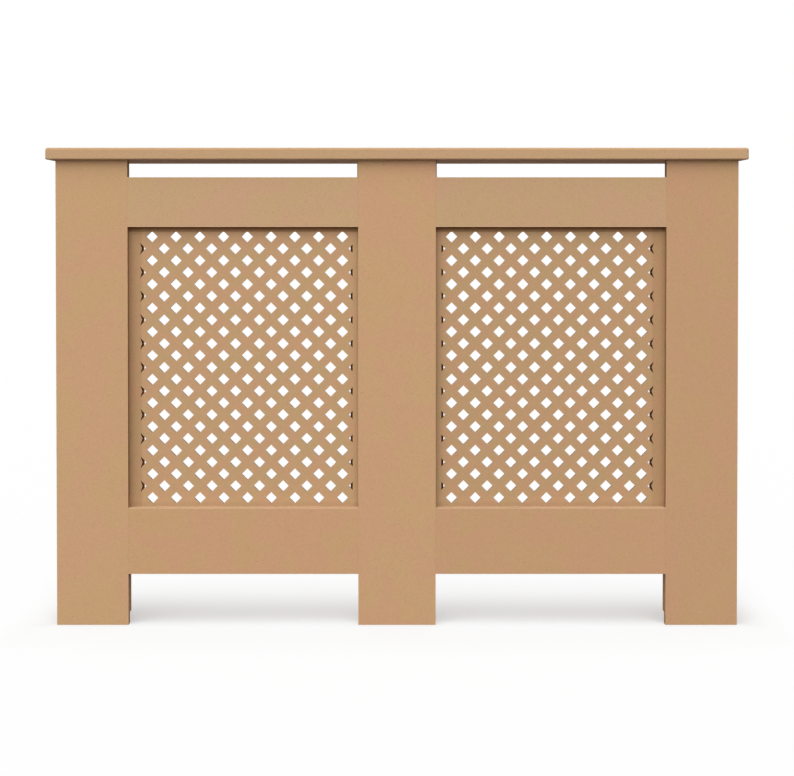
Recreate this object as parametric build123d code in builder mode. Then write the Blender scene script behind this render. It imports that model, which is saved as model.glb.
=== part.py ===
from build123d import *
import math
import os

# Radiator cover cabinet in bare medium-density board, made flat and put together with cam locks.
# Millimetres. The origin is on the floor under the middle of the shelf. +X is to the right as
# seen from the room, the front faces -Y and the open back stands against the wall at +Y.

# Overall sizes
overall_width = 1200
overall_depth = 190
overall_height = 820

# Shelf
shelf_thickness = 20
shelf_side_overhang = 15
shelf_front_overhang = 15
shelf_corner_radius = 5
shelf_top_round = 4
shelf_under_cut = 1.5

# Front frame, from the floor up
front_thickness = 15
outer_stile_width = 123
centre_stile_width = 133
leg_height = 88
bottom_rail_height = 114
top_rail_height = 85
air_slot_height = 30

# Second layer glued behind the front frame
liner_thickness = 15
liner_floor_gap = 19
centre_liner_proud = 2
rail_liner_setback = 4
slot_liner_setback = 1.5

# Lattice sheet and the strips that hold it
lattice_thickness = 6
lattice_overlap = 12
lattice_edge_clearance = 1
lattice_pitch = 29
lattice_hole = 14
lattice_side_margin = 12
lattice_end_margin = 5
lattice_shift = 6
lattice_drop = 1
half_hole_trim = 2.8
half_hole_bend = 3.2
half_hole_back = 20.2
outer_strip_reach = 24
inner_strip_reach = 13.8
top_strip_reach = 8.5
bottom_strip_reach = 1
strip_joint_gap = 0.2

# Side panels
side_thickness = 15
skirting_height = 130
skirting_depth = 20

# Loose tongues between the rails and the stiles
tongue_length = 55
tongue_reach = 12
tongue_thickness = 5
tongue_corner = 3
glue_gap = 0.1

# Cam locks and their bolts
cam_radius = 7.35
cam_recess = 0.3
cam_floor = 1.5
cam_bore_clearance = 0.3
cam_setback = 34
cam_eccentricity = 0.5
cam_driver_width = 1.4
cam_driver_span = 7
cam_driver_depth = 2.2
cam_mark_size = 2.2
cam_mark_depth = 0.6
cam_low_height = 120
cam_high_drop = 160
cam_shelf_line = 75
bolt_head_radius = 3.4
bolt_head_flat = 1.4
bolt_head_offset = 1.2
bolt_head_clearance = 0.5
bolt_neck_radius = 2
bolt_neck_start = 9
bolt_shoulder = 1
bolt_shank_radius = 3.4
bolt_hole_radius = 4
bolt_thread_radius = 2.9
bolt_thread_length = 11

# Dowels
dowel_radius = 4
dowel_length = 30
dowel_taper = 1
dowel_in_face = 11
dowel_end_clearance = 1
dowel_middle_drop = 420
dowel_front_line = 62
dowel_rear_line = 25
dowel_centre_spacing = 70

# Wall brackets under the shelf
bracket_side_inset = 50
bracket_width = 22
bracket_leg = 40
bracket_thickness = 2
bracket_bend_radius = 3
bracket_corner_cut = 4
bracket_wall_hole_radius = 2.75
bracket_wall_hole_drop = 26
bracket_screw_near = 14
bracket_screw_far = 30
bracket_screw_hole_radius = 2.2

# Small round pieces and the holes they fill are drawn with this many sides
cam_sides = 16
chamber_sides = 12
pin_sides = 8
pin_clearance = 0.05

# Heights above the floor
shelf_under = overall_height - shelf_thickness
top_rail_top = shelf_under - air_slot_height
opening_top = top_rail_top - top_rail_height
opening_bottom = leg_height + bottom_rail_height
opening_height = opening_top - opening_bottom
opening_middle = (opening_top + opening_bottom) / 2

# Distances from the middle
body_half = overall_width / 2 - shelf_side_overhang
side_inner = body_half - side_thickness
side_middle = body_half - side_thickness / 2
opening_outer = body_half - outer_stile_width
opening_inner = centre_stile_width / 2
opening_width = opening_outer - opening_inner
opening_centre = (opening_outer + opening_inner) / 2

# Layers from front to back
shelf_front = -overall_depth / 2
wall_line = overall_depth / 2
frame_front = shelf_front + shelf_front_overhang
frame_back = frame_front + front_thickness
frame_middle = (frame_front + frame_back) / 2
liner_back = frame_back + liner_thickness
sheet_back = frame_back + lattice_thickness
panel_depth = wall_line - frame_back

# The rebate in the liners that takes the lattice sheet and its strips
rebate_reach = lattice_overlap + lattice_edge_clearance
rebate_outer = opening_outer + rebate_reach
rebate_inner = opening_inner - rebate_reach
rebate_top = opening_top + rebate_reach
rebate_bottom = opening_bottom - rebate_reach

os.makedirs("parts", exist_ok=True)


def facing(y):
    """The plane across the cabinet at depth y, looked at from the room."""
    return Plane.XZ.offset(-y)


def save(part, name):
    part.label = name
    export_step(part, f"parts/{name}.step")


def save_pair(part, name):
    """Writes the right-hand piece and its mirror image on the left."""
    save(part, f"{name}_right")
    with BuildPart() as twin:
        mirror(part, about=Plane.YZ)
    save(twin.part, f"{name}_left")


def upright_board(left, right, bottom, top, mode=Mode.ADD):
    """A rectangle on an upright plane, between two distances from the middle and two heights."""
    with Locations(((left + right) / 2, (bottom + top) / 2)):
        Rectangle(right - left, top - bottom, mode=mode)


def pin(*sections, sides=pin_sides):
    """A small turned piece along local z, through (height, radius) sections."""
    with BuildPart(mode=Mode.PRIVATE) as turned:
        for height, radius in sections:
            with BuildSketch(Plane.XY.offset(height)):
                RegularPolygon(radius, sides)
        loft(ruled=True)
    return turned.part


def drill(planes, radius, depth, sides=pin_sides):
    """Blind holes from each plane, along its z axis or, at a negative depth, against it."""
    start, end = sorted((0, depth))
    hole = pin((start, radius), (end, radius), sides=sides)
    with Locations(*planes):
        add(hole, mode=Mode.SUBTRACT)


# --- Loose tongues: flat beech slips glued across each joint of the front frame ----------------

rail_heights = {
    "top": (opening_top + top_rail_top) / 2,
    "bottom": (leg_height + opening_bottom) / 2,
}


def tongues(joints, growth=0, corner=0):
    """Slips on the given joints of the frame, or their slots, larger all round by the growth."""
    half_thickness = tongue_thickness / 2 + growth
    with BuildPart(mode=Mode.PRIVATE) as slips:
        with BuildSketch(facing(frame_middle - half_thickness)) as outline:
            with Locations(*joints):
                Rectangle(2 * (tongue_reach + growth), tongue_length + 2 * growth)
            if corner:
                chamfer(outline.vertices(), corner)
        extrude(amount=-2 * half_thickness)
    return slips.part


inner_joints = [(opening_inner, height) for height in rail_heights.values()]
outer_joints = [(opening_outer, height) for height in rail_heights.values()]
inner_joints_left = [(-x, height) for x, height in inner_joints]
outer_joints_left = [(-x, height) for x, height in outer_joints]

all_joints = inner_joints + outer_joints + inner_joints_left + outer_joints_left

with BuildPart() as joint_tongues:
    add(tongues(all_joints, corner=tongue_corner))
save(joint_tongues.part, "joint_tongues")


# --- Where the loose-fitted joints lie ---------------------------------------------------
# Each plane has its origin on the joint and its z axis along the fixing, into the side panel.


def front_joint(height):
    """A joint between the back of the outer stile and the edge of the side panel."""
    return Plane(origin=(side_middle, frame_back, height), x_dir=(0, 0, 1), z_dir=(0, 1, 0))


def shelf_joint(x, y):
    """A joint between the shelf's underside and the top end of an upright board."""
    return Plane(origin=(x, y, shelf_under), x_dir=(0, 1, 0), z_dir=(0, 0, -1))


def mirrored(planes):
    """The same joints on the left side of the cabinet."""
    return [
        Plane(
            origin=(-plane.origin.X, plane.origin.Y, plane.origin.Z),
            x_dir=plane.x_dir,
            z_dir=plane.z_dir,
        )
        for plane in planes
    ]


front_cam_joints = [front_joint(cam_low_height), front_joint(shelf_under - cam_high_drop)]
shelf_cam_joints = [shelf_joint(side_middle, wall_line - cam_shelf_line)]
cam_joints = front_cam_joints + shelf_cam_joints

front_dowel_joints = [front_joint(shelf_under - dowel_middle_drop)]
shelf_dowel_joints = [
    shelf_joint(side_middle, shelf_front + dowel_front_line),
    shelf_joint(side_middle, wall_line - dowel_rear_line),
]
centre_dowel_joints = [
    shelf_joint(-dowel_centre_spacing / 2, frame_middle),
    shelf_joint(dowel_centre_spacing / 2, frame_middle),
]

thread_hole_radius = bolt_thread_radius + pin_clearance
thread_hole_depth = bolt_thread_length + pin_clearance
dowel_hole_radius = dowel_radius + pin_clearance
dowel_hole_depth = dowel_length - dowel_in_face + dowel_end_clearance


# --- Front frame: three stiles that run down as legs, and two rails in each bay ----------------

with BuildPart() as outer_stile:
    with BuildSketch(facing(frame_front)):
        upright_board(opening_outer, body_half, 0, shelf_under)
    extrude(amount=-front_thickness)
    add(tongues(outer_joints, glue_gap), mode=Mode.SUBTRACT)
    drill(front_cam_joints, thread_hole_radius, -thread_hole_depth)
    drill(front_dowel_joints, dowel_hole_radius, -dowel_in_face)
save_pair(outer_stile.part, "outer_stile")

with BuildPart() as centre_stile:
    with BuildSketch(facing(frame_front)):
        upright_board(-opening_inner, opening_inner, 0, shelf_under)
    extrude(amount=-front_thickness)
    add(tongues(inner_joints + inner_joints_left, glue_gap), mode=Mode.SUBTRACT)
    drill(centre_dowel_joints, dowel_hole_radius, dowel_hole_depth)
save(centre_stile.part, "centre_stile")

with BuildPart() as top_rail:
    with BuildSketch(facing(frame_front)):
        upright_board(opening_inner, opening_outer, opening_top, top_rail_top)
    extrude(amount=-front_thickness)
    add(tongues(inner_joints + outer_joints, glue_gap), mode=Mode.SUBTRACT)
save_pair(top_rail.part, "top_rail")

with BuildPart() as bottom_rail:
    with BuildSketch(facing(frame_front)):
        upright_board(opening_inner, opening_outer, leg_height, opening_bottom)
    extrude(amount=-front_thickness)
    add(tongues(inner_joints + outer_joints, glue_gap), mode=Mode.SUBTRACT)
save_pair(bottom_rail.part, "bottom_rail")


# --- Liners: a second layer of board, cut back round each opening to house the lattice -------------

rail_liner_inner = opening_inner + centre_liner_proud
rail_liner_bottom = leg_height + rail_liner_setback
rail_liner_top = top_rail_top - rail_liner_setback
slot_liner_edge = opening_outer + slot_liner_setback

with BuildPart() as outer_liner:
    with BuildSketch(facing(frame_back)):
        upright_board(opening_outer, side_inner, liner_floor_gap, shelf_under)
        upright_board(opening_outer, rebate_outer, rebate_bottom, rebate_top, mode=Mode.SUBTRACT)
        upright_board(opening_outer, slot_liner_edge, rail_liner_top, shelf_under, mode=Mode.SUBTRACT)
    extrude(amount=-liner_thickness)
save_pair(outer_liner.part, "outer_liner")

with BuildPart() as centre_liner:
    with BuildSketch(facing(frame_back)):
        upright_board(-rail_liner_inner, rail_liner_inner, rail_liner_bottom, shelf_under)
        upright_board(rebate_inner, rail_liner_inner, rebate_bottom, rebate_top, mode=Mode.SUBTRACT)
        upright_board(-rail_liner_inner, -rebate_inner, rebate_bottom, rebate_top, mode=Mode.SUBTRACT)
    extrude(amount=-liner_thickness)
save(centre_liner.part, "centre_liner")

with BuildPart() as top_liner:
    with BuildSketch(facing(frame_back)):
        upright_board(rail_liner_inner, opening_outer, rebate_top, rail_liner_top)
    extrude(amount=-liner_thickness)
save_pair(top_liner.part, "top_rail_liner")

with BuildPart() as bottom_liner:
    with BuildSketch(facing(frame_back)):
        upright_board(rail_liner_inner, opening_outer, rail_liner_bottom, rebate_bottom)
    extrude(amount=-liner_thickness)
save_pair(bottom_liner.part, "bottom_rail_liner")


# --- Lattice: a thin sheet cut through with square holes turned to stand on their corners ---------
# Two grids of holes, one with a row more and a column less than the other, lie in each other's
# gaps. The columns at both ends are cut by the edge of the field and come out as half holes, and
# the backs of the outer ones bend into them.

hole_diagonal = lattice_hole * math.sqrt(2)
row_spacing = lattice_pitch * math.sqrt(2)
columns = int((opening_width - 2 * lattice_side_margin) / row_spacing)
row_pairs = int((opening_height - hole_diagonal - 2 * lattice_end_margin) / row_spacing)
field_x = opening_centre - lattice_shift
field_z = opening_middle - lattice_drop
field_half = columns * row_spacing / 2


def hole_grid(column_count, row_count):
    """Square holes round the middle of the field, each turned by an eighth of a turn."""
    with Locations((field_x, field_z)):
        with GridLocations(row_spacing, row_spacing, column_count, row_count):
            Rectangle(lattice_hole, lattice_hole, rotation=45)


with BuildSketch(mode=Mode.PRIVATE) as hole_field:
    hole_grid(columns, row_pairs + 1)
    hole_grid(columns + 1, row_pairs)
    upright_board(
        field_x - field_half + half_hole_trim,
        field_x + field_half,
        opening_bottom,
        opening_top,
        mode=Mode.INTERSECT,
    )
    with Locations((field_x + field_half, field_z)):
        with GridLocations(row_spacing, row_spacing, 1, row_pairs):
            Polygon(
                (0, -half_hole_back / 2),
                (0, half_hole_back / 2),
                (-half_hole_bend, 0),
                align=(Align.MAX, Align.CENTER),
                mode=Mode.SUBTRACT,
            )

with BuildPart() as lattice_panel:
    with BuildSketch(facing(frame_back)):
        upright_board(
            opening_inner - lattice_overlap,
            opening_outer + lattice_overlap,
            opening_bottom - lattice_overlap,
            opening_top + lattice_overlap,
        )
        add(hole_field.sketch, mode=Mode.SUBTRACT)
    extrude(amount=-lattice_thickness)
save_pair(lattice_panel.part, "lattice_panel")


# --- Strips pinned behind the edges of the sheet, flush with the back of the liners --------------

strip_outer_edge = opening_outer - outer_strip_reach
strip_inner_edge = opening_inner + inner_strip_reach
strip_thickness = liner_back - sheet_back
strip_low = rebate_bottom + strip_joint_gap
strip_high = rebate_top - strip_joint_gap
cross_strip_inner = strip_inner_edge + strip_joint_gap
cross_strip_outer = strip_outer_edge - strip_joint_gap

with BuildPart() as outer_strip:
    with BuildSketch(facing(sheet_back)):
        upright_board(strip_outer_edge, rebate_outer - strip_joint_gap, strip_low, strip_high)
    extrude(amount=-strip_thickness)
save_pair(outer_strip.part, "outer_retaining_strip")

with BuildPart() as inner_strip:
    with BuildSketch(facing(sheet_back)):
        upright_board(rebate_inner + strip_joint_gap, strip_inner_edge, strip_low, strip_high)
    extrude(amount=-strip_thickness)
save_pair(inner_strip.part, "inner_retaining_strip")

with BuildPart() as top_strip:
    with BuildSketch(facing(sheet_back)):
        upright_board(cross_strip_inner, cross_strip_outer, opening_top - top_strip_reach, strip_high)
    extrude(amount=-strip_thickness)
save_pair(top_strip.part, "top_retaining_strip")

with BuildPart() as bottom_strip:
    with BuildSketch(facing(sheet_back)):
        upright_board(cross_strip_inner, cross_strip_outer, strip_low, opening_bottom + bottom_strip_reach)
    extrude(amount=-strip_thickness)
save_pair(bottom_strip.part, "bottom_retaining_strip")


# --- Cam locks: zinc drums that turn half round and draw the bolt's head towards their axis --------
# Local frame of a cam: z out of the panel's inner face, x towards the joint that the bolt crosses.

bolt_line = -side_thickness / 2
chamber_half = bolt_head_radius + bolt_head_clearance
chamber_tight = bolt_head_offset + bolt_head_radius + bolt_head_clearance
neck_slot_half = bolt_neck_radius + bolt_head_clearance
cam_bottom = bolt_line - chamber_half - cam_floor
cam_length = -cam_recess - cam_bottom
cam_bore_radius = cam_radius + cam_bore_clearance
cam_bore_depth = cam_bore_clearance - cam_bottom
beyond_cam = 2 * cam_radius


def cam_plane(joint):
    """The plane of a cam on the panel's inner face, from the plane of its joint."""
    inward = -1 if joint.origin.X > 0 else 1
    centre = joint.origin + joint.z_dir * cam_setback
    return Plane(
        origin=(inward * -side_inner, centre.Y, centre.Z),
        x_dir=-joint.z_dir,
        z_dir=(inward, 0, 0),
    )


with BuildPart() as cam:
    with BuildSketch(Plane.XY.offset(cam_bottom)):
        RegularPolygon(cam_radius, cam_sides)
    extrude(amount=cam_length)
    # the eccentric chamber round the bolt's head
    with BuildSketch(Plane.XY.offset(bolt_line - chamber_half)):
        with Locations((-cam_eccentricity, 0)):
            RegularPolygon(chamber_tight + cam_eccentricity, chamber_sides)
        # and its mouth, where the head goes in when the lock is open
        Rectangle(beyond_cam, 2 * chamber_half, align=(Align.MAX, Align.CENTER))
    extrude(amount=2 * chamber_half, mode=Mode.SUBTRACT)
    # the slot that lets the bolt's neck pass while the cam turns
    with BuildSketch(Plane.XY.offset(bolt_line - neck_slot_half)):
        with Locations((0, neck_slot_half)):
            Rectangle(2 * beyond_cam, beyond_cam, align=(Align.CENTER, Align.MAX))
    extrude(amount=2 * neck_slot_half, mode=Mode.SUBTRACT)
    # the cross for the screwdriver
    with BuildSketch(Plane.XY.offset(-cam_recess)):
        Rectangle(cam_driver_span, cam_driver_width)
        Rectangle(cam_driver_width, cam_driver_span)
    extrude(amount=-cam_driver_depth, mode=Mode.SUBTRACT)
    # the mark that shows where the mouth is
    with BuildSketch(Plane.XY.offset(-cam_recess)):
        with Locations((cam_mark_size - cam_radius, 0)):
            RegularPolygon(cam_mark_size / 2, 3, rotation=180)
    extrude(amount=-cam_mark_depth, mode=Mode.SUBTRACT)

for cam_name, joint in zip(("front_low", "front_high", "shelf"), cam_joints):
    for side_name, joint_there in (("right", joint), ("left", mirrored([joint])[0])):
        with BuildPart() as placed_cam:
            with Locations(cam_plane(joint_there)):
                add(cam.part)
        save(placed_cam.part, f"cam_{cam_name}_{side_name}")

# local z of a bolt runs from the joint into the side panel, towards its cam
head_centre = cam_setback - bolt_head_offset
neck_end = cam_setback - bolt_neck_start
cam_bolt = pin(
    (-bolt_thread_length, bolt_thread_radius),
    (0, bolt_thread_radius),
    (bolt_shoulder, bolt_shank_radius),
    (neck_end - bolt_shoulder, bolt_shank_radius),
    (neck_end, bolt_neck_radius),
    (head_centre - bolt_head_radius, bolt_neck_radius),
    (head_centre - bolt_head_flat, bolt_head_radius),
    (head_centre + bolt_head_flat, bolt_head_radius),
    (head_centre + bolt_head_radius, bolt_head_flat),
)

with BuildPart() as cam_bolts:
    with Locations(*cam_joints, *mirrored(cam_joints)):
        add(cam_bolt)
save(cam_bolts.part, "cam_bolts")


# --- Dowels: fluted beech pins that line the panels up -----------------------------------------

side_dowel_joints = front_dowel_joints + shelf_dowel_joints
dowel_end = dowel_length - dowel_in_face
dowel = pin(
    (-dowel_in_face, dowel_radius - dowel_taper),
    (dowel_taper - dowel_in_face, dowel_radius),
    (dowel_end - dowel_taper, dowel_radius),
    (dowel_end, dowel_radius - dowel_taper),
)

with BuildPart() as dowels:
    with Locations(*side_dowel_joints, *mirrored(side_dowel_joints), *centre_dowel_joints):
        add(dowel)
save(dowels.part, "dowels")


# --- Side panels, notched at the foot of the back edge for the skirting board -------------------

with BuildPart() as side_panel:
    with BuildSketch(Plane.YZ.offset(side_inner)):
        with Locations((frame_back + panel_depth / 2, shelf_under / 2)):
            Rectangle(panel_depth, shelf_under)
        with Locations((wall_line, 0)):
            Rectangle(
                skirting_depth,
                skirting_height,
                align=(Align.MAX, Align.MIN),
                mode=Mode.SUBTRACT,
            )
    extrude(amount=side_thickness)
    drill([cam_plane(joint) for joint in cam_joints], cam_bore_radius, -cam_bore_depth, cam_sides)
    drill(cam_joints, bolt_hole_radius, cam_setback)
    drill(side_dowel_joints, dowel_hole_radius, dowel_hole_depth)
save_pair(side_panel.part, "side_panel")


# --- Shelf: overhangs the front and both sides, with its edges rounded over --------------------

with BuildPart() as top_shelf:
    with BuildSketch(Plane.XY.offset(shelf_under)) as shelf_plan:
        Rectangle(overall_width, overall_depth)
        fillet(shelf_plan.vertices().group_by(Axis.Y)[0], shelf_corner_radius)
    extrude(amount=shelf_thickness)
    top_edges = top_shelf.edges().group_by(Axis.Z)[-1]
    fillet(top_edges.sort_by(Axis.Y)[:-1], shelf_top_round)
    under_edges = top_shelf.edges().group_by(Axis.Z)[0]
    chamfer(under_edges.sort_by(Axis.Y)[:-1], shelf_under_cut)
    drill(shelf_cam_joints + mirrored(shelf_cam_joints), thread_hole_radius, -thread_hole_depth)
    drill(
        shelf_dowel_joints + mirrored(shelf_dowel_joints) + centre_dowel_joints,
        dowel_hole_radius,
        -dowel_in_face,
    )
save(top_shelf.part, "top_shelf")


# --- Wall brackets: bent steel angles under the back of the shelf, hidden behind the stiles ------

bracket_x = side_inner - bracket_side_inset
bracket_screw_planes = [
    Plane(origin=(bracket_x, wall_line - line, shelf_under), x_dir=(1, 0, 0), z_dir=(0, 0, -1))
    for line in (bracket_screw_near, bracket_screw_far)
]
bracket_wall_plane = Plane(
    origin=(bracket_x, wall_line, shelf_under - bracket_wall_hole_drop),
    x_dir=(1, 0, 0),
    z_dir=(0, 1, 0),
)

with BuildPart() as wall_bracket:
    with BuildSketch(Plane.YZ.offset(bracket_x - bracket_width / 2)):
        with Locations((wall_line, shelf_under)):
            Rectangle(bracket_leg, bracket_thickness, align=(Align.MAX, Align.MAX))
            Rectangle(bracket_thickness, bracket_leg, align=(Align.MAX, Align.MAX))
    extrude(amount=bracket_width)
    across = wall_bracket.edges().filter_by(Axis.X)
    outer_bend = across.sort_by(lambda edge: edge.center().Y + edge.center().Z)[-1]
    fillet(outer_bend, bracket_bend_radius)
    along_wall = wall_bracket.edges().filter_by(Axis.Y).group_by(Axis.Z)[0]
    along_shelf = wall_bracket.edges().filter_by(Axis.Z).group_by(Axis.Y)[0]
    chamfer(along_wall + along_shelf, bracket_corner_cut)
    drill(bracket_screw_planes, bracket_screw_hole_radius, bracket_thickness)
    with Locations(bracket_wall_plane):
        Hole(bracket_wall_hole_radius, bracket_thickness)
save_pair(wall_bracket.part, "wall_bracket")
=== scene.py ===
import math
import bmesh
import bpy
from mathutils import Matrix, Vector


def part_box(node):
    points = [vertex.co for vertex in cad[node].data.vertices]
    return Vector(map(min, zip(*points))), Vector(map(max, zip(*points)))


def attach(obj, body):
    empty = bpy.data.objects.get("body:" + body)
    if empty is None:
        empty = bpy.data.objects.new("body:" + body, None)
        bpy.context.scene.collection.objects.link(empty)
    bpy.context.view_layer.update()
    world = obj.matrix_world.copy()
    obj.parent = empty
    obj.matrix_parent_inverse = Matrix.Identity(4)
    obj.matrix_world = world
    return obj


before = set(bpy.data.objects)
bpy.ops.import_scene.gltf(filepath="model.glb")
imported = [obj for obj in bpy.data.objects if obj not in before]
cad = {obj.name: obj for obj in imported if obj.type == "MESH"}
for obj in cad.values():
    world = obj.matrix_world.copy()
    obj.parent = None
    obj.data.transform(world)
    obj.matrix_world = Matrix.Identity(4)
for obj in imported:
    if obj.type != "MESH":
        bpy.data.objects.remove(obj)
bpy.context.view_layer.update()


# --- Front frame ------------------------------------------------------------------------------
# Three stiles and four rails of bare medium-density board, glued edge to edge. The faces are
# pressed smooth, a tan that drifts between pink and yellow, with short wood fibres in it. The
# sawn edges are more open; those of the stiles are painted dark as shade, and those of the
# bottom rails pale as a painted highlight. The arrises are painted lighter, partly as wear from
# fine paper and partly as a painted highlight, most along the openings.

def srgb(red, green, blue):
    """A colour written as it looks on a screen, from 0 to 255, as the shader wants it."""
    colour = []
    for value in (red / 255, green / 255, blue / 255):
        colour.append(value / 12.92 if value < 0.04045 else ((value + 0.055) / 1.055) ** 2.4)
    return colour + [1]


class Wire:
    """The output of a node, which can stand in sums."""

    def __init__(self, finish, socket):
        self.finish = finish
        self.socket = socket

    def math(self, operation, *values):
        sockets = dict(enumerate(values))
        return self.finish.node("ShaderNodeMath", {"operation": operation}, sockets)

    def __add__(self, other):
        return self.math("ADD", self, other)

    def __sub__(self, other):
        return self.math("SUBTRACT", self, other)

    def __rsub__(self, other):
        return self.math("SUBTRACT", other, self)

    def __mul__(self, other):
        return self.math("MULTIPLY", self, other)

    def __truediv__(self, other):
        return self.math("DIVIDE", self, other)

    __radd__ = __add__
    __rmul__ = __mul__

    def least(self, other):
        return self.math("MINIMUM", self, other)

    def most(self, other):
        return self.math("MAXIMUM", self, other)

    def size(self):
        return self.math("ABSOLUTE", self)

    def ramp(self, start, end):
        """A soft rise from 0 at the start to 1 at the end, or a fall if the start is higher."""
        low, high = sorted((start, end))
        levels = (0, 1) if start < end else (1, 0)
        return self.finish.node(
            "ShaderNodeMapRange",
            {"interpolation_type": "SMOOTHSTEP"},
            {0: self, 1: low, 2: high, 3: levels[0], 4: levels[1]},
        )


class Finish:
    """A procedural material round one surface shader."""

    def __init__(self, name, plain):
        self.material = bpy.data.materials.new(name)
        self.material.use_nodes = True
        self.tree = self.material.node_tree
        self.shader = self.tree.nodes["Principled BSDF"]
        for socket, value in plain.items():
            self.shader.inputs[socket].default_value = value
        self.place = self.node("ShaderNodeTexCoord", output="Object")
        self.facing = self.node("ShaderNodeTexCoord", output="Normal")

    def node(self, kind, settings=None, values=None, output=0):
        """One node: its settings are made first, then its sockets are filled or wired."""
        made = self.tree.nodes.new(kind)
        for setting, value in (settings or {}).items():
            setattr(made, setting, value)
        for socket, value in (values or {}).items():
            self.feed(made.inputs[socket], value)
        return Wire(self, made.outputs[output])

    def feed(self, socket, value):
        if isinstance(value, Wire):
            self.tree.links.new(value.socket, socket)
        else:
            socket.default_value = value

    def axes(self, vector):
        """The three numbers of a vector."""
        split = self.node("ShaderNodeSeparateXYZ", values={0: vector}).socket.node
        return [Wire(self, socket) for socket in split.outputs]

    def stretched(self, *scale):
        """The place on the piece, with its three axes scaled."""
        return self.node("ShaderNodeMapping", values={"Vector": self.place, "Scale": scale})

    def noise(self, scale, detail=2, place=None, rough=0.5, warp=0):
        return self.node(
            "ShaderNodeTexNoise",
            {"noise_type": "FBM"},
            {
                "Vector": place or self.place,
                "Scale": scale,
                "Detail": detail,
                "Roughness": rough,
                "Distortion": warp,
            },
        )

    def fibres(self, scale, breaks):
        """Short wood fibres, which lie every way: thin winding lines, broken off at random."""
        lines = (self.noise(scale, detail=1, warp=0.7) - 0.5).size().ramp(0.022, 0.006)
        return lines * self.noise(breaks, detail=1).ramp(0.52, 0.60)

    def mix(self, share, first, second, blend="MIX"):
        """Two colours, mixed by a share."""
        settings = {"data_type": "RGBA", "blend_type": blend, "clamp_factor": True}
        return self.node("ShaderNodeMix", settings, {0: share, 6: first, 7: second}, output=2)

    def show(self, colour, rough, height, depth, soften=0.0007):
        """Wires the surface: its colour, roughness and relief, over softened corners."""
        corners = self.node("ShaderNodeBevel", {"samples": 6}, {"Radius": soften})
        relief = self.node(
            "ShaderNodeBump",
            values={"Strength": 1.0, "Distance": depth, "Height": height, "Normal": corners},
        )
        self.feed(self.shader.inputs["Base Color"], colour)
        self.feed(self.shader.inputs["Roughness"], rough)
        self.feed(self.shader.inputs["Normal"], relief)
        return self.material

    def arris(self, low, high):
        """How far a place is from the nearest arris of the box that the piece fills."""
        reach = [
            (along - lowest).least(highest - along)
            for along, lowest, highest in zip(self.axes(self.place), low, high)
        ]
        nearer, further = reach[0].least(reach[1]), reach[0].most(reach[1])
        return nearer.most(further.least(reach[2]))


pink_tan = srgb(201, 158, 124)
yellow_tan = srgb(198, 161, 120)
sawn_tan = srgb(186, 145, 106)
mottle_tan = srgb(166, 124, 86)
pale_fibre_and_highlight_tan = srgb(222, 188, 152)
bark_brown = srgb(118, 84, 56)

joint_blur = 0.0005
joint_reach = 0.010


def glued(finish):
    """1 along the edges of the stiles where a rail is glued to them."""
    x, _, z = finish.axes(finish.place)
    joints = 0
    for rail in ("top_rail_left", "bottom_rail_left"):
        low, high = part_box(rail)
        middle, half = (low.z + high.z) / 2, (high.z - low.z) / 2
        joints = (z - middle).size().ramp(half + joint_blur, half - joint_blur) + joints
    outer_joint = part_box("top_rail_right")[1].x
    return joints * x.size().ramp(outer_joint + joint_reach, outer_joint)


# a pair of numbers is where a soft rise or fall starts and ends
board_gloss = 0.05
board_grain = 0.00012
sawn_turn = (0.75, 0.6)
arris_width = (0.0016, 0.0004)
opening_arris = (0.004, 0.002)
wear_and_highlight_everywhere = 0.25


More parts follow.
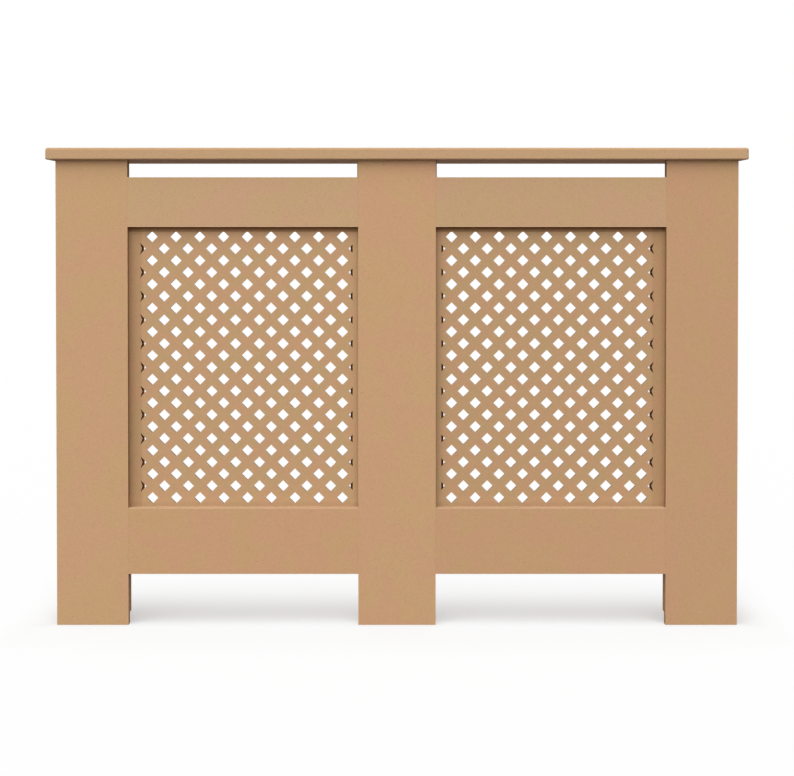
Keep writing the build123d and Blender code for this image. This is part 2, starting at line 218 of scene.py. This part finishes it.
def board_finish(name, tint_and_shade=(1, 1, 1, 1), edge=sawn_tan):
    """Bare medium-density board for the piece of that name, tinted as boards differ and as
    painted shade.
    """
    low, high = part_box(name)
    size = high - low
    if "_rail_" in name:
        # the ends are glued, so they have no arris to be painted lighter
        low.x, high.x = low.x - 1, high.x + 1
    thin = min(range(3), key=lambda axis: size[axis])
    finish = Finish(name + "_board", {"Specular IOR Level": board_gloss})
    sawn = finish.axes(finish.facing)[thin].size().ramp(*sawn_turn)

    patches = finish.noise(17, detail=2, rough=0.45)
    clouds = finish.noise(26, detail=5, rough=0.6)
    fibres = finish.fibres(340, 620)
    dark_fibres = finish.fibres(250, 430)
    fuzz = finish.noise(1500, detail=3, rough=0.7)
    mottle = finish.noise(620, detail=4, rough=0.68).ramp(0.36, 0.66)
    cells = finish.node("ShaderNodeTexVoronoi", values={"Vector": finish.place, "Scale": 60.0})
    specks = cells.ramp(0.035, 0.015)

    # sanding marks run along the board
    across = [900.0, 900.0, 900.0]
    across[max(range(3), key=lambda axis: size[axis])] = 14.0
    sanding = finish.noise(1.0, detail=3, place=finish.stretched(*across), rough=0.6)

    colour = finish.mix(patches.ramp(0.38, 0.62), pink_tan, yellow_tan)
    colour = finish.mix(1.0, colour, tint_and_shade, "MULTIPLY")
    colour = finish.mix(sawn * 0.6, colour, edge)
    colour = finish.mix(mottle * 0.28, colour, mottle_tan)
    colour = finish.mix(fibres * 0.45, colour, pale_fibre_and_highlight_tan)
    colour = finish.mix(dark_fibres * (0.30 + sawn * 0.12), colour, bark_brown)
    colour = finish.mix(specks * 0.4, colour, bark_brown)
    colour = finish.mix((clouds - 0.5).size() * 0.35, colour, sawn_tan)

    # every arris is painted lighter, partly as wear and partly as a painted highlight: a little
    # everywhere, and on the rails along the openings much more
    wear_and_highlight_share = wear_and_highlight_everywhere
    if "_rail_" in name:
        up = finish.axes(finish.place)[2]
        from_opening = high.z - up if "bottom" in name else up - low.z
        wear_and_highlight_share = from_opening.ramp(*opening_arris) * (1 - wear_and_highlight_everywhere) + wear_and_highlight_everywhere
    wear_and_highlight = finish.arris(low, high).ramp(*arris_width) * (0.45 + clouds * 0.5) * wear_and_highlight_share
    if "stile" in name:
        wear_and_highlight = wear_and_highlight * (1 - glued(finish))
    colour = finish.mix(wear_and_highlight, colour, pale_fibre_and_highlight_tan)

    rough = 0.60 + clouds * 0.12 + sawn * 0.18 + sanding * 0.06
    relief = fibres * 0.25 - dark_fibres * 0.2 + sanding * 0.2 + fuzz * (0.15 + sawn * 0.6)
    return finish.show(colour, rough, relief, depth=board_grain)


def dress(name, material):
    """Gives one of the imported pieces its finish."""
    slots = cad[name].material_slots
    if not slots:
        cad[name].data.materials.append(material)
    for slot in slots:
        slot.material = material


# the tints are partly the boards' own tone and partly painted shade: the right-hand boards are
# darker, as the light falls from the left, and the bottom rails darker than the top ones
frame_boards = {
    "outer_stile_left": (1.0, 1.0, 0.99, 1),
    "outer_stile_right": (0.93, 0.915, 0.91, 1),
    "centre_stile": (1.0, 0.99, 0.98, 1),
    "top_rail_left": (0.97, 1.03, 1.05, 1),
    "top_rail_right": (0.94, 1.0, 1.02, 1),
    "bottom_rail_left": (0.99, 0.96, 0.95, 1),
    "bottom_rail_right": (0.95, 0.93, 0.92, 1),
}
# painted light: the stiles' edges are painted dark as the shade in the openings and slots, and
# the bottom rails' edges pale as a painted highlight on their top faces
board_edges = {"stile": srgb(136, 100, 68), "top_rail": sawn_tan, "bottom_rail": pale_fibre_and_highlight_tan}
for board, tint_and_shade in frame_boards.items():
    edge = next(edge for kind, edge in board_edges.items() if kind in board)
    dress(board, board_finish(board, tint_and_shade, edge))


# --- Loose tongues and dowels -----------------------------------------------------------------
# Beech, planed and fluted, glued out of sight in the joints: straight pale grain with the fine
# darker flecks of its rays.

def beech_finish(name, grain):
    """Beech with its grain along the given axis."""
    finish = Finish(name + "_beech", {"Specular IOR Level": 0.35})
    across = [260.0, 260.0, 260.0]
    across[grain] = 9.0
    rings = finish.noise(1.0, detail=4, place=finish.stretched(*across), rough=0.6)
    fleck_scale = [1400.0, 1400.0, 1400.0]
    fleck_scale[grain] = 220.0
    flecks = finish.noise(1.0, detail=1, place=finish.stretched(*fleck_scale)).ramp(0.60, 0.72)
    colour = finish.mix(rings.ramp(0.3, 0.7), srgb(214, 178, 136), srgb(196, 152, 108))
    colour = finish.mix(flecks * 0.5, colour, srgb(150, 104, 68))
    relief = rings - flecks * 0.5
    return finish.show(colour, 0.5 + rings * 0.2, relief, depth=0.0001, soften=0.0004)


dress("joint_tongues", beech_finish("joint_tongues", 2))
dress("dowels", beech_finish("dowels", 2))


# --- Liners -----------------------------------------------------------------------------------
# A second layer of the same board, glued behind the frame. It stiffens the joints, and its
# rebate takes the lattice sheet. It hardly shows from the room; it is tinted darker, and its
# rough edges darker still, as painted shade where it shows in the slots and behind the stiles.

rough_and_shaded_edge = srgb(128, 94, 64)
for liner in (
    "outer_liner_left",
    "outer_liner_right",
    "centre_liner",
    "top_rail_liner_left",
    "top_rail_liner_right",
    "bottom_rail_liner_left",
    "bottom_rail_liner_right",
):
    dress(liner, board_finish(liner, (0.93, 0.92, 0.91, 1), rough_and_shaded_edge))


# --- Lattice sheets ---------------------------------------------------------------------------
# Thin board, cut through with square holes that stand on their corners. The walls of the holes
# are browner than the faces, and a fine burr round each hole is pale, partly as a painted
# highlight on its arris. The rim of the sheet next to the frame is darker, as painted shade.

lattice_pitch = 0.029
lattice_hole = 0.014
lattice_shift = 0.006
lattice_drop = 0.001
lattice_columns = 9
lattice_row_pairs = 11
half_hole_trim = 0.003
burr_highlight_width = (0.0011, 0.0002)
field_blur = 0.001
rim_blur = 0.002
lower_rim_blur = 0.008
even_split = (0.35, 0.65)


def lattice_finish(name, side, tint_and_shade):
    """Thin board with its holes, whose field is set out from the opening as when it was cut."""
    finish = Finish(name + "_sheet", {"Specular IOR Level": 0.3})
    rail_low, rail_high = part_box(f"top_rail_{side}")
    opening_x = (rail_low.x + rail_high.x) / 2
    opening_z = (rail_low.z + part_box(f"bottom_rail_{side}")[1].z) / 2
    field_x = opening_x + (lattice_shift if side == "left" else -lattice_shift)
    field_z = opening_z - lattice_drop
    x, _, z = finish.axes(finish.place)
    diagonal = math.sqrt(2) * lattice_pitch
    rising = (x - field_x + z - field_z) / diagonal
    falling = (x - field_x - z + field_z) / diagonal
    gaps = [
        (share.math("PINGPONG", share, 0.5) - 0.5).size() * lattice_pitch - lattice_hole / 2
        for share in (rising, falling)
    ]
    burr_and_highlight = gaps[0].most(gaps[1]).ramp(*burr_highlight_width)
    half_width = lattice_columns * diagonal / 2 - half_hole_trim
    half_height = (lattice_row_pairs + 0.5) * diagonal / 2
    burr_and_highlight = burr_and_highlight * (x - field_x).size().ramp(half_width + field_blur, half_width)
    burr_and_highlight = burr_and_highlight * (z - field_z).size().ramp(half_height + field_blur, half_height)

    # painted shade: the plain rim outside the holes is darker along the outer stile, but not
    # towards the centre stile, and along the rails above and below
    outer_rim_shade = (x.size() - abs(field_x) - half_width).ramp(-field_blur, rim_blur)
    upper_rim_shade = (z - field_z - half_height).ramp(-rim_blur, rim_blur)
    lower_rim_shade = (field_z - half_height - z).ramp(-lower_rim_blur, rim_blur)

    walls = finish.axes(finish.facing)[1].size().ramp(*sawn_turn)
    patches = finish.noise(34, detail=3, rough=0.5)
    fibres = finish.fibres(380, 640)
    dark_fibres = finish.fibres(280, 460)
    fuzz = finish.noise(1600, detail=3, rough=0.7)
    mottle = finish.noise(680, detail=4, rough=0.68).ramp(0.36, 0.66)
    colour = finish.mix(patches.ramp(*even_split), srgb(193, 150, 112), srgb(187, 153, 110))
    colour = finish.mix(1.0, colour, tint_and_shade, "MULTIPLY")
    colour = finish.mix(outer_rim_shade, colour, (0.89, 0.86, 0.83, 1), "MULTIPLY")
    colour = finish.mix(upper_rim_shade.most(lower_rim_shade), colour, (0.82, 0.86, 0.90, 1), "MULTIPLY")
    colour = finish.mix(mottle * 0.28, colour, srgb(152, 114, 80))
    colour = finish.mix(fibres * 0.4, colour, pale_fibre_and_highlight_tan)
    colour = finish.mix(dark_fibres * 0.3, colour, bark_brown)
    colour = finish.mix(burr_and_highlight * fuzz * 0.5, colour, srgb(214, 180, 140))
    colour = finish.mix(walls * 0.9, colour, srgb(104, 71, 45))

    # painted shade: just under the top rail the sheet is painted darker, browner towards the
    # rail
    rise = z - rail_low.z
    for start, end, shade_tint in (
        (-0.0095, -0.0080, (0.71, 0.64, 0.54, 1)),
        (-0.0070, -0.0025, (0.90, 0.62, 0.30, 1)),
    ):
        colour = finish.mix(rise.ramp(start, end), colour, shade_tint, "MULTIPLY")

    rough = 0.62 + walls * 0.2 + patches * 0.08
    relief = fibres * 0.3 - dark_fibres * 0.2 + fuzz * (0.2 + walls * 0.6) + burr_and_highlight * 0.5
    return finish.show(colour, rough, relief, depth=0.00014, soften=0.0005)


# the right sheet is darker, as painted shade
for side, tint_and_shade in (("left", (1, 1, 1, 1)), ("right", (0.94, 0.94, 0.94, 1))):
    dress(f"lattice_panel_{side}", lattice_finish(f"lattice_panel_{side}", side, tint_and_shade))


# --- Retaining strips and their pins ----------------------------------------------------------
# Strips of tempered hardboard, laid in the rebate behind the edges of each sheet. They are
# painted very dark brown, partly as the shade that fills the half holes, where they show as dark
# bars. Panel pins hold them, their heads just proud of the face.

def hardboard_and_shade_finish(name):
    """Hard brown board with a dull oiled face, painted darker as shade, for the strip of that
    name.
    """
    finish = Finish(name + "_hardboard_and_shade", {"Specular IOR Level": 0.08})
    clouds = finish.noise(40, detail=4, rough=0.6)
    fibres = finish.fibres(420, 700)
    fuzz = finish.noise(1300, detail=3, rough=0.7)
    colour = finish.mix(clouds.ramp(*even_split), srgb(84, 43, 8), srgb(108, 59, 13))
    colour = finish.mix(fibres * 0.45, colour, srgb(138, 90, 46))
    wear_and_highlight = finish.arris(*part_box(name)).ramp(0.0010, 0.0002)
    colour = finish.mix(wear_and_highlight * fuzz * 0.8, colour, srgb(128, 90, 56))
    rough = 0.45 + clouds * 0.2 + wear_and_highlight * 0.2
    return finish.show(colour, rough, fibres * 0.4 + fuzz * 0.3, depth=0.00012)


strip_places = ("outer", "inner", "top", "bottom")
for side in ("left", "right"):
    for place in strip_places:
        strip = f"{place}_retaining_strip_{side}"
        dress(strip, hardboard_and_shade_finish(strip))

pin_head = 0.0011
pin_rim = 0.7 * pin_head
pin_sides = 12
pin_proud = 0.00035
pin_spacing = 0.12
pin_end = 0.022


def steel_finish(name, colour, rough):
    """Steel with a thin dull plating, brushed and a little stained."""
    finish = Finish(name, {"Metallic": 1.0})
    clouds = finish.noise(90, detail=4, rough=0.6)
    lengthwise = finish.stretched(300.0, 2600.0, 2600.0)
    brushing = finish.noise(1.0, detail=3, place=lengthwise, rough=0.6)
    stains = finish.noise(240, detail=3, rough=0.6).ramp(0.58, 0.72)
    dulled = [value * 0.86 for value in colour[:3]] + [1]
    tone = finish.mix(clouds.ramp(*even_split), colour, dulled)
    tone = finish.mix(stains * 0.35, tone, srgb(120, 112, 98))
    rough = rough + clouds * 0.12 + stains * 0.15
    return finish.show(tone, rough, brushing, depth=0.00003, soften=0.0003)


def put_in_order(elements, place):
    """Sorts corners or faces by place, because an extrusion's come in another order each run."""
    for index, element in enumerate(sorted(elements, key=place)):
        element.index = index
    elements.sort()


def new_piece(name, shape, material, body):
    """Turns a bmesh into a piece that rides with a body."""
    bmesh.ops.recalc_face_normals(shape, faces=shape.faces)
    put_in_order(shape.verts, lambda vert: vert.co[:])
    put_in_order(shape.faces, lambda face: face.calc_center_median()[:])
    mesh = bpy.data.meshes.new(name)
    shape.to_mesh(mesh)
    shape.free()
    mesh.materials.append(material)
    mesh.shade_smooth()
    piece = bpy.data.objects.new(name, mesh)
    bpy.context.scene.collection.objects.link(piece)
    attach(piece, body)


pin_steel = steel_finish("pin_steel", srgb(176, 176, 178), 0.32)
for side in ("left", "right"):
    pins = bmesh.new()
    for place in strip_places:
        low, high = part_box(f"{place}_retaining_strip_{side}")
        middle = (low + high) / 2
        along = Vector((1, 0, 0)) if high.x - low.x > high.z - low.z else Vector((0, 0, 1))
        length = (high - low).dot(along) - 2 * pin_end
        count = round(length / pin_spacing) + 1
        for index in range(count):
            centre = middle + along * length * (index / (count - 1) - 0.5)
            centre.y = high.y
            # a flat head with a broken rim, its lower half in the strip
            bmesh.ops.create_cone(
                pins,
                cap_ends=True,
                segments=pin_sides,
                radius1=pin_head,
                radius2=pin_rim,
                depth=2 * pin_proud,
                matrix=Matrix.Translation(centre) @ Matrix.Rotation(math.radians(-90), 4, "X"),
            )
    new_piece(f"strip_pins_{side}", pins, pin_steel, "cabinet")


# --- Side panels ------------------------------------------------------------------------------
# Plain boards from the front frame back to the wall, notched at the foot for the skirting board
# and bored on the inside for the cams.

for side in ("left", "right"):
    dress(f"side_panel_{side}", board_finish(f"side_panel_{side}", (0.99, 0.98, 0.97, 1)))


# --- Cams and bolts ---------------------------------------------------------------------------
# Die-cast zinc drums that turn in the side panels, grey and a little grainy from the mould, and
# the zinc-plated bolts that they draw on.

def zinc_finish(name):
    """Cast zinc, dull in clouds and scuffed bright round the drum."""
    finish = Finish(name, {"Metallic": 1.0})
    grain = finish.noise(2600, detail=3, rough=0.65)
    clouds = finish.noise(320, detail=4, rough=0.6)
    colour = finish.mix(clouds.ramp(*even_split), srgb(168, 168, 170), srgb(140, 141, 145))
    turned = finish.stretched(5200.0, 700.0, 700.0)
    scuffs = finish.noise(1.0, detail=2, place=turned).ramp(0.62, 0.75)
    colour = finish.mix(scuffs * 0.4, colour, srgb(206, 206, 206))
    rough = 0.42 + clouds * 0.18 - scuffs * 0.12
    return finish.show(colour, rough, grain - scuffs * 0.5, depth=0.00005, soften=0.0003)


cast_zinc = zinc_finish("cast_zinc")
for place in ("front_low", "front_high", "shelf"):
    for side in ("left", "right"):
        dress(f"cam_{place}_{side}", cast_zinc)
dress("cam_bolts", steel_finish("bolt_steel", srgb(190, 188, 184), 0.3))


# --- Shelf ------------------------------------------------------------------------------------
# One board over everything, its top and front corners rounded with a cutter and sanded, so its
# edges are nearly as smooth as its faces.

dress("top_shelf", board_finish("top_shelf", (0.99, 1.035, 1.05, 1), srgb(192, 158, 122)))


# --- Wall brackets and their screws -----------------------------------------------------------
# Bent strips of zinc-plated steel under the back of the shelf, each held up by two pan-head
# screws with a cross recess. The free leg has a hole for a screw into the wall.

bracket_steel = steel_finish("bracket_steel", srgb(200, 200, 202), 0.28)
for side in ("left", "right"):
    dress(f"wall_bracket_{side}", bracket_steel)

bracket_thickness = 0.002
screw_lines = (0.014, 0.030)
head_sides = 32
head_radius = 0.0038
head_height = 0.0024
head_rounding = 0.75 * head_height
head_steps = 6
head_top = 0.99 * head_height
cross_width = 0.0010
cross_span = 0.0040
cross_depth = 0.0013


def cut_cross(shape, faces, width, span, depth):
    """Sinks a cross for a screwdriver into level faces round the local z axis."""
    for reach in (width / 2, span / 2):
        for axis in (Vector((1, 0, 0)), Vector((0, 1, 0))):
            for turn in (-1, 1):
                edges = {edge for face in faces for edge in face.edges}
                verts = {vert for face in faces for vert in face.verts}
                cut = bmesh.ops.bisect_plane(
                    shape,
                    geom=list(faces) + list(edges) + list(verts),
                    plane_co=axis * reach * turn,
                    plane_no=axis,
                )
                faces = [item for item in cut["geom"] if isinstance(item, bmesh.types.BMFace)]
    arms = [
        face
        for face in faces
        if min(map(abs, face.calc_center_median().xy)) < width / 2
        and max(map(abs, face.calc_center_median().xy)) < span / 2
    ]
    sunk = bmesh.ops.extrude_face_region(shape, geom=arms)["geom"]
    floor_verts = [item for item in sunk if isinstance(item, bmesh.types.BMVert)]
    bmesh.ops.translate(shape, vec=(0, 0, -depth), verts=floor_verts)


for side in ("left", "right"):
    low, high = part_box(f"wall_bracket_{side}")
    for line, where in zip(screw_lines, ("near", "far")):
        screw = bmesh.new()
        bmesh.ops.create_circle(screw, cap_ends=True, segments=head_sides, radius=head_radius)
        top = bmesh.ops.extrude_face_region(screw, geom=list(screw.faces))["geom"]
        top_verts = [item for item in top if isinstance(item, bmesh.types.BMVert)]
        bmesh.ops.translate(screw, vec=(0, 0, head_height), verts=top_verts)
        rim = [edge for edge in screw.edges if min(vert.co.z for vert in edge.verts) > head_top]
        bmesh.ops.bevel(
            screw,
            geom=rim,
            offset=head_rounding,
            affect="EDGES",
            segments=head_steps,
            profile=0.5,
            material=-1,
        )
        crown = [face for face in screw.faces if face.calc_center_median().z > head_top]
        cut_cross(screw, crown, cross_width, cross_span, cross_depth)
        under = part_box("top_shelf")[0].z - bracket_thickness
        seat = Vector(((low.x + high.x) / 2, high.y - line, under))
        bmesh.ops.transform(
            screw,
            matrix=Matrix.Translation(seat) @ Matrix.Rotation(math.pi, 4, "X"),
            verts=screw.verts,
        )
        new_piece(f"bracket_screw_{where}_{side}", screw, pin_steel, "cabinet")


# --- Studio -----------------------------------------------------------------------------------
# A pale floor that keeps a soft shadow under the cabinet and runs out to white. The light is
# plain and soft: the white room, a broad lamp in front and a little to the left, and two weak
# ones behind.

floor_reach = 30.0
ground = bmesh.new()
bmesh.ops.create_grid(ground, x_segments=1, y_segments=1, size=floor_reach)
floor_mesh = bpy.data.meshes.new("floor")
ground.to_mesh(floor_mesh)
ground.free()
floor = bpy.data.objects.new("floor", floor_mesh)
bpy.context.scene.collection.objects.link(floor)


def seen(finish):
    """1 on rays that show a surface, straight, in a gloss or through glass, and 0 on others."""
    path = finish.node("ShaderNodeLightPath").socket.node
    camera, glossy, through = [
        Wire(finish, path.outputs[ray])
        for ray in ("Is Camera Ray", "Is Glossy Ray", "Is Transmission Ray")
    ]
    return camera.most(glossy).most(through)


paper = Finish("floor_paper", {"Roughness": 0.9})
floor_mesh.materials.append(paper.material)
paper_shown = (0.74, 0.74, 0.74, 1)
paper_thrown = (0.09, 0.09, 0.09, 1)
paper_tone = paper.mix(seen(paper), paper_thrown, paper_shown)
paper.feed(paper.shader.inputs["Base Color"], paper_tone)

# painted light: on rays that show it, the paper glows white outside the shadow, and whiter
# still further off
along, back, _ = paper.axes(paper.place)
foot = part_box("side_panel_right")[1]
shade_reach = 0.026
shade_shift = 0.005
white_under, white_round, white_far = 0.22, 0.60, 0.13
beside = ((along - shade_shift).size() - foot.x - shade_reach).ramp(-0.06, 0.04)
before = (back + foot.y).ramp(0.05, -0.01)
behind = (back - foot.y).ramp(-0.165, 0.095)
distant = ((along.size() - foot.x) * 3).most(back.size()).ramp(0.11, 0.33)
whiteness = beside.most(before).most(behind) * white_round + distant * white_far + white_under
white = paper.node("ShaderNodeEmission", values={"Color": (1, 1, 1, 1), "Strength": 1.0})
lit_paper = Wire(paper, paper.shader.outputs[0])
ground_blend = paper.node(
    "ShaderNodeMixShader",
    values={0: whiteness * seen(paper), 1: lit_paper, 2: white},
)
paper.feed(paper.tree.nodes["Material Output"].inputs["Surface"], ground_blend)


class Sky(Finish):
    """The white all round, which shines less than it shows."""

    def __init__(self, name):
        world = bpy.data.worlds.new(name)
        bpy.context.scene.world = world
        world.use_nodes = True
        self.tree = world.node_tree
        self.backdrop = self.tree.nodes["Background"]


room = Sky("white_room")
room.feed(room.backdrop.inputs["Color"], (1, 1, 1, 1))
room_light = 0.38
room.feed(room.backdrop.inputs["Strength"], seen(room) * (1 - room_light) + room_light)


cabinet_middle = Vector((0, 0, 0.45))


def sun(name, place, energy, spread):
    """A broad lamp at a place, which points at the middle of the cabinet."""
    light = bpy.data.lights.new(name, "SUN")
    light.energy = energy
    light.angle = math.radians(spread)
    holder = bpy.data.objects.new(name, light)
    holder.location = place
    holder.rotation_euler = (cabinet_middle - Vector(place)).to_track_quat("-Z", "Y").to_euler()
    bpy.context.scene.collection.objects.link(holder)


sun("front", (-0.7, -3.3, 3.0), energy=3.01, spread=84)
sun("back_left", (-2.5, 2.3, 1.6), energy=1.1, spread=80)
sun("back_right", (2.5, 2.3, 1.6), energy=1.1, spread=80)

# The camera stands square to the front, level with the upper edges of the openings, and looks
# down by a degree. Its picture is shifted, as with a view camera, to keep the uprights upright.
picture_width = 794
focal_pixels = 1616.2
camera_distance = 2.85
camera_height = 0.683
look_down = 0.0184
shift_pixels = -130.2

lens = bpy.data.cameras.new("camera")
lens.sensor_width = 36
lens.lens = focal_pixels * lens.sensor_width / picture_width
lens.shift_y = shift_pixels / picture_width
camera = bpy.data.objects.new("camera", lens)
camera.location = (0, -camera_distance, camera_height)
camera.rotation_euler = (math.pi / 2 - look_down, 0, 0)
bpy.context.scene.collection.objects.link(camera)
bpy.context.scene.camera = camera
bpy.context.scene.view_settings.view_transform = "Standard"
